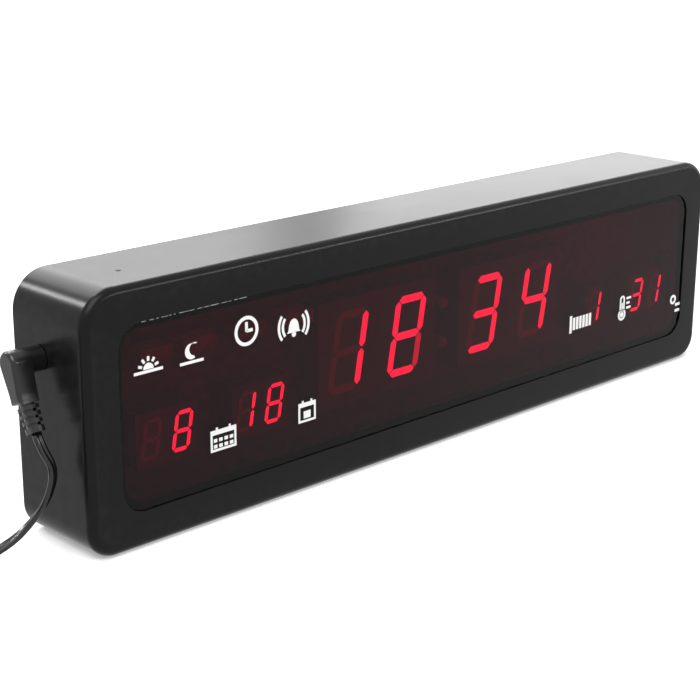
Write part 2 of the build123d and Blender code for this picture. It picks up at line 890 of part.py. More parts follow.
def lead_exit():
    """Where the lead leaves the plug's strain relief, and its direction there."""
    lean, bend = radians(plug_lean), radians(plug_lean + relief_bend)
    head_way = Vector(0, -sin(lean), -cos(lean))
    way = Vector(0, -sin(bend), -cos(bend))
    return Vector(plug_x, inlet_y, inlet_z) + head_way * plug_length + way * relief_length, way


def supply_points():
    """Route from the plug to the coil."""
    start, way = lead_exit()
    join = coil_entry()
    route = [Vector(wall_left - out, inlet_y + aside, start.Z * share) for out, aside, share in lead_route]
    return [start, start + way * lead_exit_run, *route, join - end_direction(0) * lead_approach, join]


def tail_points():
    """Route from the coil to the adapter."""
    start = coil_exit()
    bend = start + end_direction(coil_turns()) * tail_run
    return [start, bend, bend + Vector(-tail_run, 0, 0)]


def bend_radii(points):
    """Radius of the arc at each corner of a route."""
    radii = []
    for before, here, after in zip(points, points[1:], points[2:]):
        first, second = here - before, after - here
        turn = acos(max(-1.0, min(1.0, unit(first).dot(unit(second)))))
        radii.append(0.45 * min(first.length, second.length) / tan(turn / 2))
    return radii


def lead_tube(name, path):
    """Round tube along a path; prints how its volume compares with section times length."""
    section = Plane(origin=path @ 0, z_dir=path % 0) * Circle(lead_diameter / 2)
    tube = sweep(section, path=path)
    expected = pi * lead_diameter ** 2 / 4 * path.length
    print(f"{name}: length {path.length:.1f} mm, volume ratio {tube.volume / expected:.4f}")
    return tube


def routed_lead(name, points):
    """Tube of straight runs and tangent arcs."""
    radii = bend_radii(points)
    print(f"{name}: bend radii {[round(radius, 1) for radius in radii]}")
    return lead_tube(name, Wire(FilletPolyline(*points, radius=radii).edges()))


def lead_coil():
    """Coil of put-away lead; prints the least gap between its turns."""
    path = coil_path()
    step = lead_diameter / 2
    count = int(path.length / step)
    points = [tuple(path @ (number / count)) for number in range(count + 1)]
    skip = int(4 * lead_diameter / step)
    nearest = min(dist(points[i], points[j]) for i in range(count) for j in range(i + skip, count + 1))
    print(f"lead_coil: least gap between turns {nearest - lead_diameter:.2f} mm")
    return lead_tube("lead_coil", path)


def coil_tie():
    """Flat band round the bundle of turns."""
    per_layer = coil_turns() / coil_layers
    inner = coil_outer - coil_pitch * per_layer - lead_diameter / 2 - tie_gap
    outer = coil_outer + lead_diameter / 2 + tie_gap
    height = coil_pitch * (coil_layers - 1) + lead_diameter + 2 * tie_gap
    middle = (inner + outer) / 2
    hole = RectangleRounded(outer - inner, height, lead_diameter / 2)
    rim = RectangleRounded(outer - inner + 2 * tie_thickness, height + 2 * tie_thickness,
                           lead_diameter / 2 + tie_thickness)
    band = upright(rim - hole, -tie_width / 2, tie_width / 2)
    centre_z = tie_thickness + height / 2
    return Pos(coil_x, coil_y, centre_z) * Rot(0, 0, tie_angle) * Pos(middle, 0, 0) * band


# ---------------------------------------------------------------- wall adapter
def adapter_axis():
    """Point where the lead enters the adapter's strain relief."""
    return tail_points()[-1]


def adapter_span():
    """Lowest and highest x of the adapter's case."""
    high = adapter_axis().X - adapter_relief_length
    return high - adapter_length, high


def adapter_shell(z_low, z_high, z_edge):
    """Half of the adapter's case: hollow, with its outer edges rounded at z_edge."""
    axis = adapter_axis()
    x_low, x_high = adapter_span()
    centre = Pos((x_low + x_high) / 2, axis.Y, z_low)
    outline = RectangleRounded(adapter_length, adapter_width, adapter_corner)
    body = centre * extrude(outline, amount=z_high - z_low)
    ends = body.edges().group_by(Axis.Z)
    body = fillet(ends[0] if z_edge == z_low else ends[-1], adapter_edge)
    inner_low = z_low + adapter_wall if z_edge == z_low else z_low - 1
    inner_high = z_high - adapter_wall if z_edge == z_high else z_high + 1
    inner = RectangleRounded(adapter_length - 2 * adapter_wall, adapter_width - 2 * adapter_wall,
                             adapter_corner - adapter_wall)
    body -= Pos((x_low + x_high) / 2, axis.Y, inner_low) * extrude(inner, amount=inner_high - inner_low)
    return body - rod_x(axis.Y, axis.Z, adapter_relief_neck + adapter_relief_gap,
                        x_high - adapter_wall - 1, x_high + 1)


def wall_adapter_cover():
    """Lower half as it lies, with two ribs under the small board."""
    body = adapter_shell(0, adapter_axis().Z, 0)
    board_x = adapter_board_x()
    for side in (-1, 1):
        x = board_x + side * (adapter_board_size[0] / 2 - adapter_rib_width)
        half = adapter_rib_width / 2
        reach = adapter_board_size[1] / 2
        body += block(x - half, x + half, adapter_axis().Y - reach, adapter_axis().Y + reach,
                      adapter_wall, adapter_wall + adapter_rib_height)
    return body


def wall_adapter_base():
    """Upper half as it lies, with the holes for the mains pins."""
    body = adapter_shell(adapter_axis().Z, adapter_height, adapter_height)
    for x, y in mains_pin_places():
        body -= rod_z(x, y, pin_sleeve + mains_pin_gap, adapter_height - adapter_wall - 1,
                      adapter_height + 1)
    return body


def mains_pin_places():
    """The two pins, side by side near the case's far end."""
    x = adapter_span()[0] + mains_pin_setback
    return [(x, adapter_axis().Y + side * mains_pin_spacing / 2) for side in (-1, 1)]


def adapter_pins():
    """Round mains pins: a full tip, a neck inside its sleeve and a flange inside the case."""
    pins = []
    inside = adapter_height - adapter_wall
    tip_low = adapter_height + pin_sleeve_length
    for x, y in mains_pin_places():
        pin = rod_z(x, y, mains_pin, tip_low, adapter_height + mains_pin_length)
        pin = fillet(pin.edges().group_by(Axis.Z)[-1], 0.6 * mains_pin)
        pin += rod_z(x, y, mains_pin_neck, inside, tip_low)
        pins.append(pin + rod_z(x, y, mains_pin_flange, inside - mains_pin_flange_thickness, inside))
    return group(pins)


def pin_sleeves():
    """Insulating sleeves round the necks of the mains pins."""
    low, high = adapter_height - adapter_wall, adapter_height + pin_sleeve_length
    bore = mains_pin_neck + mains_pin_gap
    return group([rod_z(x, y, pin_sleeve, low, high) - rod_z(x, y, bore, low, high)
                  for x, y in mains_pin_places()])


def adapter_strain_relief():
    """Tapered sleeve with a neck in the wall and a collar behind it."""
    axis = adapter_axis()
    root = adapter_span()[1]
    sleeve = Pos(root, axis.Y, axis.Z) * Rot(0, 90, 0) * Cone(
        adapter_relief_root, adapter_relief_tip, adapter_relief_length,
        align=(Align.CENTER, Align.CENTER, Align.MIN))
    inner = root - adapter_wall
    sleeve += rod_x(axis.Y, axis.Z, adapter_relief_neck, inner - adapter_collar_thickness, root)
    return sleeve + rod_x(axis.Y, axis.Z, adapter_collar, inner - adapter_collar_thickness, inner)


def adapter_transformer():
    """Wound bobbin with its core, standing on the adapter's floor."""
    x = adapter_span()[0] + adapter_wall + transformer_size[0] / 2 + adapter_corner
    y = adapter_axis().Y
    solid = None
    for length, width, height in (transformer_size, transformer_core):
        piece = block(x - length / 2, x + length / 2, y - width / 2, y + width / 2,
                      adapter_wall, adapter_wall + height)
        solid = piece if solid is None else solid + piece
    return solid


def adapter_board_x():
    """Middle of the small board along X."""
    return adapter_span()[1] - adapter_wall - adapter_board_size[0] / 2 - adapter_corner


def adapter_board():
    """Small rectifier board on its two ribs."""
    length, width, height = adapter_board_size
    x, y = adapter_board_x(), adapter_axis().Y
    low = adapter_wall + adapter_rib_height
    return block(x - length / 2, x + length / 2, y - width / 2, y + width / 2, low, low + height)


# ---------------------------------------------------------------- everything by name
def all_nodes():
    """Every node with its solid or group of solids."""
    nodes = {
        "front_housing": front_housing(),
        "window_lens": window_lens(),
        "rear_cover": rear_cover(),
        "cover_screws": group([pan_screw(x, z, cover_back - head_recess, cover_screw_length)
                               for x, z in cover_screw_places()]),
        "battery_cap": battery_cap(),
        "display_board": display_board(),
        "board_screws": group([pan_screw(x, z, board_back, board_screw_length)
                               for x, z in board_screw_places()]),
        "display_pins": display_pins(),
        "colon_leds": colon_leds(),
        "indicator_lights": indicator_lights(),
        "clock_chip": chip(clock_chip_x, clock_chip_size),
        "driver_chips": group([chip(x, driver_chip_size) for x in driver_chip_x]),
        "crystal": crystal(),
        "capacitors": capacitors(),
        "resistors": resistor_row(),
        "sounder": sounder(),
        "temperature_sensor": temperature_sensor(),
        "cell_holder": cell_holder(),
        "cell_contacts": cell_contacts(),
        "coin_cell": coin_cell(),
        "key_switches": key_switches(),
        "inlet_jack": inlet_jack(),
        "inlet_contacts": inlet_contacts(),
        "plug_barrel": plug_barrel(),
        "plug_moulding": plug_moulding(),
        "plug_strain_relief": plug_strain_relief(),
        "supply_lead": routed_lead("supply_lead", supply_points()),
        "lead_coil": lead_coil(),
        "lead_tail": routed_lead("lead_tail", tail_points()),
        "coil_tie": coil_tie(),
        "wall_adapter_cover": wall_adapter_cover(),
        "wall_adapter_base": wall_adapter_base(),
        "adapter_pins": adapter_pins(),
        "pin_sleeves": pin_sleeves(),
        "adapter_strain_relief": adapter_strain_relief(),
        "adapter_transformer": adapter_transformer(),
        "adapter_board": adapter_board(),
    }
    for name, module in MODULES.items():
        nodes[f"{name}_module"] = module.housing()
        nodes[f"{name}_lit_bars"] = group(module.bars(True))
        nodes[f"{name}_dark_bars"] = group(module.bars(False))
    for number, x in enumerate(key_places(), start=1):
        nodes[f"setting_key_{number}"] = setting_key(x)
    return nodes


os.makedirs("parts", exist_ok=True)
for node, shape in all_nodes().items():
    export_step(shape, f"parts/{node}.step")
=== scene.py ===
"""Dressed model of a digital wall and desk clock with its coiled lead and wall adapter."""

import logging
import math
import random
from collections.abc import Iterable, Sequence
from dataclasses import dataclass
from enum import Enum

import bmesh
import bpy
from mathutils import Matrix, Quaternion, Vector


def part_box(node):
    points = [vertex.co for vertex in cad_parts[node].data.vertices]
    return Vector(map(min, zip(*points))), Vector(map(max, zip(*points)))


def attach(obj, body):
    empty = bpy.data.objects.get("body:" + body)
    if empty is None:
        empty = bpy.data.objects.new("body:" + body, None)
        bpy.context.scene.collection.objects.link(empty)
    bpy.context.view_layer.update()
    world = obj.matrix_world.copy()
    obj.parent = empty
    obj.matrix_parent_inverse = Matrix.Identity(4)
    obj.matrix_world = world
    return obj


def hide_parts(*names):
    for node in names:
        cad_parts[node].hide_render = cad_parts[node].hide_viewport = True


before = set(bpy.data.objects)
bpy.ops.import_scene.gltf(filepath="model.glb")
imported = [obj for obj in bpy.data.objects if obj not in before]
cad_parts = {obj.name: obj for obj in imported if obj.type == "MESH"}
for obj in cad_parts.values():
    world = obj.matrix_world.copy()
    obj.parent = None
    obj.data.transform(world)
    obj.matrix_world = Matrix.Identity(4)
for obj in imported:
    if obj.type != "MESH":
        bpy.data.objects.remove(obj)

log = logging.getLogger("clock")
MM = 0.001
Colour = tuple[float, float, float]
Point = tuple[float, float]
Source = bpy.types.NodeSocket | float | Colour


# ---------------------------------------------------------------- node trees
class Graph:
    """Adds and joins the nodes of one material, world or node group."""

    def __init__(self, tree: bpy.types.NodeTree) -> None:
        """Keep the tree and empty it."""
        self.tree = tree
        tree.nodes.clear()

    def feed(self, socket: bpy.types.NodeSocket, value: Source) -> None:
        """Give an input a link or a plain value.

        Args:
            socket: The input.
            value: An output socket, a number or a colour.
        """
        if isinstance(value, bpy.types.NodeSocket):
            self.tree.links.new(value, socket)
        elif isinstance(value, tuple) and len(value) == 3 and socket.type == "RGBA":
            socket.default_value = (*value, 1.0)
        else:
            socket.default_value = value

    def node(self, kind: str, inputs: dict | None = None, **settings: object) -> bpy.types.Node:
        """Add a node.

        Args:
            kind: Its type name.
            inputs: Value or source socket of each input, by name or number.
            settings: Attributes of the node.

        Returns:
            The node.
        """
        made = self.tree.nodes.new(kind)
        for name, value in settings.items():
            setattr(made, name, value)
        for name, value in (inputs or {}).items():
            self.feed(made.inputs[name], value)
        return made

    def math(self, operation: str, *values: Source, clamp: bool = False) -> bpy.types.NodeSocket:
        """Calculate with one to three numbers.

        Args:
            operation: The math node's operation.
            values: Its operands.
            clamp: Whether the result is kept from 0 to 1.

        Returns:
            The result's socket.
        """
        made = self.node("ShaderNodeMath", dict(enumerate(values)), operation=operation, use_clamp=clamp)
        return made.outputs[0]

    def blend(self, share: Source, low: Source, high: Source) -> bpy.types.NodeSocket:
        """Mix two colours.

        Args:
            share: From 0 for low to 1 for high.
            low: First colour.
            high: Second colour.

        Returns:
            The colour's socket.
        """
        made = self.node("ShaderNodeMix", {0: share, 6: low, 7: high}, data_type="RGBA")
        return made.outputs[2]

    def scale(self, value: Source, low: Source, high: Source, start: float = 0.0,
              end: float = 1.0) -> bpy.types.NodeSocket:
        """Map a number from one range to another and keep it there.

        Args:
            value: The number.
            low: Result at start.
            high: Result at end.
            start: Lower end of the first range.
            end: Upper end of the first range.

        Returns:
            The result's socket.
        """
        made = self.node("ShaderNodeMapRange", {"Value": value, "From Min": start, "From Max": end,
                                                "To Min": low, "To Max": high})
        return made.outputs[0]

    def noise(self, scale: Source, detail: float = 3.0, stretch: Colour | None = None) -> bpy.types.NodeSocket:
        """Add noise fixed to the piece.

        Args:
            scale: Features per metre.
            detail: Layers of finer noise.
            stretch: Factors along X, Y and Z, if the noise is drawn out.

        Returns:
            The noise's value, from 0 to 1.
        """
        place = self.node("ShaderNodeTexCoord").outputs["Object"]
        if stretch:
            place = self.node("ShaderNodeMapping", {"Vector": place, "Scale": stretch}).outputs[0]
        made = self.node("ShaderNodeTexNoise", {"Vector": place, "Scale": scale, "Detail": detail})
        return made.outputs["Fac"]

    def group(self, tree: bpy.types.NodeTree, inputs: dict[str, Source]) -> bpy.types.Node:
        """Place a node group.

        Args:
            tree: The group.
            inputs: Value or source of each input by name.

        Returns:
            The group's node.
        """
        made = self.tree.nodes.new("ShaderNodeGroup")
        made.node_tree = tree
        for name, value in inputs.items():
            self.feed(made.inputs[name], value)
        return made


class Socket(Enum):
    """Kinds of socket that a group has."""

    NUMBER = "NodeSocketFloat"
    COLOUR = "NodeSocketColor"


def new_group(name: str, inputs: dict[str, Socket], outputs: dict[str, Socket]
              ) -> tuple[Graph, bpy.types.Node, bpy.types.Node]:
    """Make an empty node group with named sockets.

    Args:
        name: The group's name.
        inputs: Kind of each input.
        outputs: Kind of each output.

    Returns:
        The graph, the node that holds the inputs and the node that takes the outputs.
    """
    tree = bpy.data.node_groups.new(name, "ShaderNodeTree")
    graph = Graph(tree)
    for side, sockets in (("INPUT", inputs), ("OUTPUT", outputs)):
        for label, kind in sockets.items():
            tree.interface.new_socket(label, in_out=side, socket_type=kind.value)
    return graph, graph.node("NodeGroupInput"), graph.node("NodeGroupOutput")


class Effects:
    """The node groups that several finishes share."""

    def __init__(self) -> None:
        """Build every group once."""
        self.grain = self.moulded_grain()
        self.wear = self.edge_wear()
        self.marks = self.handling_marks()
        self.dust = self.settled_dust()

    @staticmethod
    def moulded_grain() -> bpy.types.NodeTree:
        """Fine grain of a mould, with a slight unevenness of shade.

        Returns:
            The group.
        """
        graph, given, made = new_group(
            "moulded_grain",
            {"Colour": Socket.COLOUR, "Shade": Socket.NUMBER, "Scale": Socket.NUMBER},
            {"Colour": Socket.COLOUR, "Height": Socket.NUMBER})
        fine = graph.noise(given.outputs["Scale"], 2.0)
        broad = graph.noise(38.0, 3.0)
        both = graph.math("ADD", graph.math("MULTIPLY", fine, 0.45), graph.math("MULTIPLY", broad, 0.55))
        shift = graph.math("MULTIPLY", graph.math("SUBTRACT", both, 0.5), given.outputs["Shade"])
        factor = graph.math("ADD", graph.math("MULTIPLY", shift, 2.0), 1.0)
        vector = graph.node("ShaderNodeVectorMath", {0: given.outputs["Colour"]}, operation="SCALE")
        graph.feed(vector.inputs["Scale"], factor)
        graph.feed(made.inputs["Colour"], vector.outputs[0])
        graph.feed(made.inputs["Height"], fine)
        return graph.tree

    @staticmethod
    def edge_wear() -> bpy.types.NodeTree:
        """Rubbed edges: a lighter tone where the surface turns outward.

        Returns:
            The group.
        """
        graph, given, made = new_group(
            "edge_wear",
            {"Colour": Socket.COLOUR, "Worn Colour": Socket.COLOUR, "Amount": Socket.NUMBER},
            {"Colour": Socket.COLOUR, "Mask": Socket.NUMBER})
        turned = graph.node("ShaderNodeNewGeometry").outputs["Pointiness"]
        edge = graph.scale(turned, 0.0, 1.0, 0.515, 0.58)
        patchy = graph.scale(graph.noise(260.0, 4.0), 0.15, 1.0, 0.4, 0.65)
        mask = graph.math("MULTIPLY", graph.math("MULTIPLY", edge, patchy), given.outputs["Amount"], clamp=True)
        graph.feed(made.inputs["Colour"], graph.blend(mask, given.outputs["Colour"], given.outputs["Worn Colour"]))
        graph.feed(made.inputs["Mask"], mask)
        return graph.tree

    @staticmethod
    def handling_marks() -> bpy.types.NodeTree:
        """Patches that hands and cloths leave glossier or duller.

        Returns:
            The group.
        """
        graph, given, made = new_group(
            "handling_marks",
            {"Roughness": Socket.NUMBER, "Spread": Socket.NUMBER},
            {"Roughness": Socket.NUMBER})
        patches = graph.noise(24.0, 4.0)
        wiped = graph.noise(90.0, 3.0, (1.0, 1.0, 4.0))
        both = graph.math("ADD", graph.math("MULTIPLY", patches, 0.65), graph.math("MULTIPLY", wiped, 0.35))
        shift = graph.math("MULTIPLY", graph.math("SUBTRACT", both, 0.5), given.outputs["Spread"])
        rough = graph.math("ADD", given.outputs["Roughness"], graph.math("MULTIPLY", shift, 2.0), clamp=True)
        graph.feed(made.inputs["Roughness"], rough)
        return graph.tree

    @staticmethod
    def settled_dust() -> bpy.types.NodeTree:
        """Thin dust on surfaces that face up.

        Returns:
            The group.
        """
        graph, given, made = new_group(
            "settled_dust",
            {"Colour": Socket.COLOUR, "Dust": Socket.COLOUR, "Amount": Socket.NUMBER},
            {"Colour": Socket.COLOUR})
        normal = graph.node("ShaderNodeNewGeometry").outputs["Normal"]
        up = graph.node("ShaderNodeSeparateXYZ", {0: normal}).outputs["Z"]
        level = graph.scale(up, 0.0, 1.0, 0.55, 0.95)
        specks = graph.scale(graph.noise(900.0, 4.0), 0.2, 1.0, 0.42, 0.7)
        share = graph.math("MULTIPLY", graph.math("MULTIPLY", level, specks), given.outputs["Amount"], clamp=True)
        graph.feed(made.inputs["Colour"], graph.blend(share, given.outputs["Colour"], given.outputs["Dust"]))
        return graph.tree


# ---------------------------------------------------------------- finishes
def new_material(name: str) -> tuple[bpy.types.Material, Graph, bpy.types.Node]:
    """Make a material with one shader joined to its output.

    Args:
        name: The material's name.

    Returns:
        The material, its graph and its Principled shader.
    """
    material = bpy.data.materials.new(name)
    material.use_nodes = True
    graph = Graph(material.node_tree)
    shader = graph.node("ShaderNodeBsdfPrincipled")
    graph.node("ShaderNodeOutputMaterial", {"Surface": shader.outputs[0]})
    return material, graph, shader


def add_bump(graph: Graph, shader: bpy.types.Node, height: bpy.types.NodeSocket, depth: float) -> None:
    """Raise a shader's surface by a height.

    Args:
        graph: The material's graph.
        shader: The shader.
        height: Height from 0 to 1.
        depth: What a height of 1 is in metres.
    """
    bump = graph.node("ShaderNodeBump", {"Distance": depth, "Strength": 1.0, "Height": height})
    graph.feed(shader.inputs["Normal"], bump.outputs[0])


@dataclass(frozen=True)
class Plastic:
    """Moulded plastic or vinyl with grain, handling marks, rubbed edges and a little dust."""

    name: str
    colour: Colour
    roughness: float = 0.4
    spread: float = 0.08
    shade: float = 0.12
    grain: float = 2400.0
    depth: float = 0.00003
    specular: float = 0.5
    coat: float = 0.0
    coat_roughness: float = 0.2
    worn: Colour = (0.13, 0.13, 0.13)
    wear: float = 0.35
    dust: float = 0.06

    def build(self, effects: Effects) -> bpy.types.Material:
        """Make the material.

        Args:
            effects: The shared node groups.

        Returns:
            The material.
        """
        material, graph, shader = new_material(self.name)
        grain = graph.group(effects.grain, {"Colour": self.colour, "Shade": self.shade, "Scale": self.grain})
        worn = graph.group(effects.wear, {"Colour": grain.outputs["Colour"], "Worn Colour": self.worn,
                                          "Amount": self.wear})
        dusty = graph.group(effects.dust, {"Colour": worn.outputs["Colour"], "Dust": (0.42, 0.41, 0.39),
                                           "Amount": self.dust})
        marks = graph.group(effects.marks, {"Roughness": self.roughness, "Spread": self.spread})
        graph.feed(shader.inputs["Base Color"], dusty.outputs["Colour"])
        graph.feed(shader.inputs["Roughness"], marks.outputs["Roughness"])
        shader.inputs["Specular IOR Level"].default_value = self.specular
        shader.inputs["Coat Weight"].default_value = self.coat
        shader.inputs["Coat Roughness"].default_value = self.coat_roughness
        add_bump(graph, shader, grain.outputs["Height"], self.depth)
        return material


@dataclass(frozen=True)
class Metal:
    """Bare or plated metal with drawn-out brushing."""

    name: str
    colour: Colour
    tarnish: Colour
    roughness: float = 0.28
    spread: float = 0.08
    brushing: Colour = (1.0, 1.0, 12.0)
    depth: float = 0.000008

    def build(self, effects: Effects) -> bpy.types.Material:
        """Make the material.

        Args:
            effects: The shared node groups.

        Returns:
            The material.
        """
        material, graph, shader = new_material(self.name)
        lines = graph.noise(700.0, 3.0, self.brushing)
        patches = graph.scale(graph.noise(150.0, 4.0), 0.0, 1.0, 0.5, 0.75)
        tone = graph.blend(patches, self.colour, self.tarnish)
        worn = graph.group(effects.wear, {"Colour": tone, "Worn Colour": self.colour, "Amount": 0.7})
        marks = graph.group(effects.marks, {"Roughness": self.roughness, "Spread": self.spread})
        graph.feed(shader.inputs["Base Color"], worn.outputs["Colour"])
        graph.feed(shader.inputs["Roughness"], marks.outputs["Roughness"])
        shader.inputs["Metallic"].default_value = 1.0
        add_bump(graph, shader, lines, self.depth)
        return material


@dataclass(frozen=True)
class LampResin:
    """Diffusing resin of a display bar, lit from inside, or dark with a faint painted glow."""

    name: str
    colour: Colour
    glow: Colour
    strength: float
    roughness: float = 0.35
    faint_bar: bool = False

    def faint_share(self, graph: Graph, slant: float = 10.0) -> bpy.types.NodeSocket:
        """Find the lower right bar of the hour's second digit, which burns low.

        Args:
            graph: The material's graph.
            slant: Lean of the digits in degrees.

        Returns:
            1 on that bar and 0 elsewhere.
        """
        place = graph.node("ShaderNodeTexCoord").outputs["Object"]
        parts = graph.node("ShaderNodeSeparateXYZ", {0: place})
        lean = graph.math("MULTIPLY", graph.math("SUBTRACT", parts.outputs["Z"], 44.5 * MM),
                          math.tan(math.radians(slant)))
        x = graph.math("SUBTRACT", parts.outputs["X"], lean)
        z = parts.outputs["Z"]
        tests = (graph.math("GREATER_THAN", x, -10.15 * MM),
                 graph.math("LESS_THAN", x, -4.0 * MM),
                 graph.math("LESS_THAN", z, 44.5 * MM),
                 graph.math("GREATER_THAN", graph.math("ADD", z, x), 22.1 * MM),
                 graph.math("LESS_THAN", graph.math("SUBTRACT", z, x), 53.1 * MM))
        share: Source = 1.0
        for test in tests:
            share = graph.math("MULTIPLY", share, test)
        return share

    def build(self, effects: Effects) -> bpy.types.Material:
        """Make the material.

        Args:
            effects: The shared node groups.

        Returns:
            The material.
        """
        material, graph, shader = new_material(self.name)
        grain = graph.group(effects.grain, {"Colour": self.colour, "Shade": 0.2, "Scale": 1300.0})
        hot = graph.scale(graph.noise(420.0, 2.0), 0.82, 1.0, 0.35, 0.65)
        if self.faint_bar:
            hot = graph.math("MULTIPLY", hot, graph.math("SUBTRACT", 1.0, graph.math(
                "MULTIPLY", self.faint_share(graph), 0.62)))
        vector = graph.node("ShaderNodeVectorMath", {0: self.glow}, operation="SCALE")
        graph.feed(vector.inputs["Scale"], hot)
        marks = graph.group(effects.marks, {"Roughness": self.roughness, "Spread": 0.05})
        graph.feed(shader.inputs["Base Color"], grain.outputs["Colour"])
        graph.feed(shader.inputs["Roughness"], marks.outputs["Roughness"])
        graph.feed(shader.inputs["Emission Color"], vector.outputs[0])
        shader.inputs["Emission Strength"].default_value = self.strength
        return material


@dataclass(frozen=True)
class SmokedAcrylic:
    """Dark red see-through pane with faint wiping marks."""

    name: str
    colour: Colour
    roughness: float = 0.03
    index: float = 1.24

    def build(self, effects: Effects) -> bpy.types.Material:
        """Make the material.

        Args:
            effects: The shared node groups.

        Returns:
            The material.
        """
        material, graph, shader = new_material(self.name)
        grain = graph.group(effects.grain, {"Colour": self.colour, "Shade": 0.08, "Scale": 60.0})
        marks = graph.group(effects.marks, {"Roughness": self.roughness, "Spread": 0.008})
        graph.feed(shader.inputs["Base Color"], grain.outputs["Colour"])
        graph.feed(shader.inputs["Roughness"], marks.outputs["Roughness"])
        shader.inputs["Transmission Weight"].default_value = 1.0
        shader.inputs["IOR"].default_value = self.index
        return material


FINISHES = (
    Plastic("black_abs", (0.0042, 0.0043, 0.0048), roughness=0.25, spread=0.04, grain=3000.0, depth=0.000006,
            specular=0.15, worn=(0.03, 0.03, 0.032), wear=0.2, dust=0.008),
    Plastic("cover_abs", (0.012, 0.012, 0.0128), roughness=0.46, spread=0.018, shade=0.06, grain=1500.0, depth=0.00004, specular=0.3,
            worn=(0.05, 0.05, 0.052), wear=0.3, dust=0.02),
    SmokedAcrylic("smoked_lens", (0.4, 0.055, 0.11), roughness=0.01),
    Plastic("module_plastic", (0.05, 0.035, 0.036), roughness=0.5, grain=1800.0, depth=0.00002, wear=0.2,
            dust=0.0),
    LampResin("lit_resin", (0.6, 0.06, 0.07), (1.0, 0.045, 0.16), 3.0, faint_bar=True),
    # Unlit bars: their faint glow is painted light for the dim inside of the case behind the lens, together with
    # some real leak from the lit bars.
    LampResin("dark_resin", (0.17, 0.022, 0.024), (0.4, 0.01, 0.012), 0.06),
    # Unlit colon and indicator lamps: their faint glow is painted light for the dim inside of the case.
    LampResin("red_resin", (0.12, 0.02, 0.022), (0.5, 0.015, 0.02), 0.03, roughness=0.15),
    Plastic("board_laminate", (0.012, 0.05, 0.026), roughness=0.35, grain=900.0, depth=0.00002,
            worn=(0.2, 0.16, 0.06), wear=0.2, dust=0.0),
    Plastic("chip_resin", (0.014, 0.014, 0.015), roughness=0.5, grain=1800.0, wear=0.2, dust=0.0),
    Metal("tinned_metal", (0.75, 0.75, 0.73), (0.5, 0.5, 0.48), roughness=0.3),
    Metal("screw_steel", (0.55, 0.56, 0.58), (0.36, 0.36, 0.37), roughness=0.3),
    Metal("can_aluminium", (0.72, 0.73, 0.75), (0.6, 0.6, 0.61), roughness=0.25),
    Plastic("sensor_epoxy", (0.02, 0.03, 0.09), roughness=0.15, coat=0.5, dust=0.0),
    Plastic("holder_plastic", (0.02, 0.02, 0.022), roughness=0.5, dust=0.0),
    Metal("cell_steel", (0.76, 0.76, 0.75), (0.62, 0.62, 0.6), roughness=0.22),
    Plastic("key_plastic", (0.055, 0.056, 0.06), roughness=0.42, grain=1900.0, depth=0.00003, wear=0.6,
            worn=(0.2, 0.2, 0.2)),
    Plastic("lead_vinyl", (0.006, 0.006, 0.0065), roughness=0.2, spread=0.04, grain=1200.0, depth=0.000008,
            specular=0.5, wear=0.2, worn=(0.03, 0.03, 0.032), dust=0.008),
    Plastic("tie_plastic", (0.02, 0.02, 0.021), roughness=0.4, grain=1600.0, dust=0.02),
    Plastic("adapter_abs", (0.011, 0.011, 0.012), roughness=0.44, spread=0.018, shade=0.06, specular=0.35, grain=1300.0, depth=0.00006, wear=0.4),
    Metal("nickel_plate", (0.8, 0.79, 0.76), (0.66, 0.64, 0.6), roughness=0.16),
    Metal("core_steel", (0.3, 0.29, 0.28), (0.16, 0.14, 0.13), roughness=0.5, brushing=(1.0, 1.0, 30.0)),
    # Light grey for a painted glint on the lens pocket's upper edge.
    Plastic("painted_glint_grey", (0.36, 0.36, 0.38), roughness=0.3, depth=0.00001, wear=0.0, dust=0.0),
    Plastic("white_ink", (0.8, 0.8, 0.79), roughness=0.5, spread=0.05, shade=0.06, depth=0.00001, wear=0.0,
            dust=0.0),
)


class Workshop:
    """Holds the materials and puts them on pieces."""

    def __init__(self) -> None:
        """Build every finish."""
        effects = Effects()
        self.materials = {finish.name: finish.build(effects) for finish in FINISHES}

    def dress(self, piece: bpy.types.Object, finish: str) -> None:
        """Give a piece one finish in all its slots.

        Args:
            piece: The piece.
            finish: The finish's name.
        """
        slots = piece.data.materials
        if not len(slots):
            slots.append(None)
        for number in range(len(slots)):
            slots[number] = self.materials[finish]
        log.info("%s: %s", piece.name, finish)

    def dress_nodes(self, finish: str, *names: str) -> None:
        """Give frame nodes one finish.

        Args:
            finish: The finish's name.
            names: The nodes.
        """
        for name in names:
            self.dress(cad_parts[name], finish)

    def add(self, name: str, mesh: bmesh.types.BMesh, finish: str, body: str, slot: str | None = None,
            smooth: bool = False) -> bpy.types.Object:
        """Turn a built mesh into a piece that rides on a body.

        Args:
            name: The piece's name.
            mesh: Its mesh in metres, freed here.
            finish: The finish's name.
            body: The body that it rides on.
            slot: Not used.
            smooth: Whether its faces are shaded smooth.

        Returns:
            The piece.
        """
        bmesh.ops.recalc_face_normals(mesh, faces=mesh.faces)
        data = bpy.data.meshes.new(name)
        mesh.to_mesh(data)
        mesh.free()
        for face in data.polygons:
            face.use_smooth = smooth
        piece = bpy.data.objects.new(name, data)
        bpy.context.scene.collection.objects.link(piece)
        self.dress(piece, finish)
        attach(piece, body)
        return piece


# ---------------------------------------------------------------- flat marks
class Mark(Enum):
    """Plain signs that stand where a clock of this kind has its legends."""

    DAY = "sun over a line"
    NIGHT = "crescent over a line"
    CHIME = "clock face"
    BELL = "bell"
    MONTH = "page with small squares"
    DATE = "page with one square"
    WEEK = "row of bars"
    WARMTH = "thermometer"
    DEGREE = "small ring"
    RING = "ring"
    UP = "triangle up"
    DOWN = "triangle down"


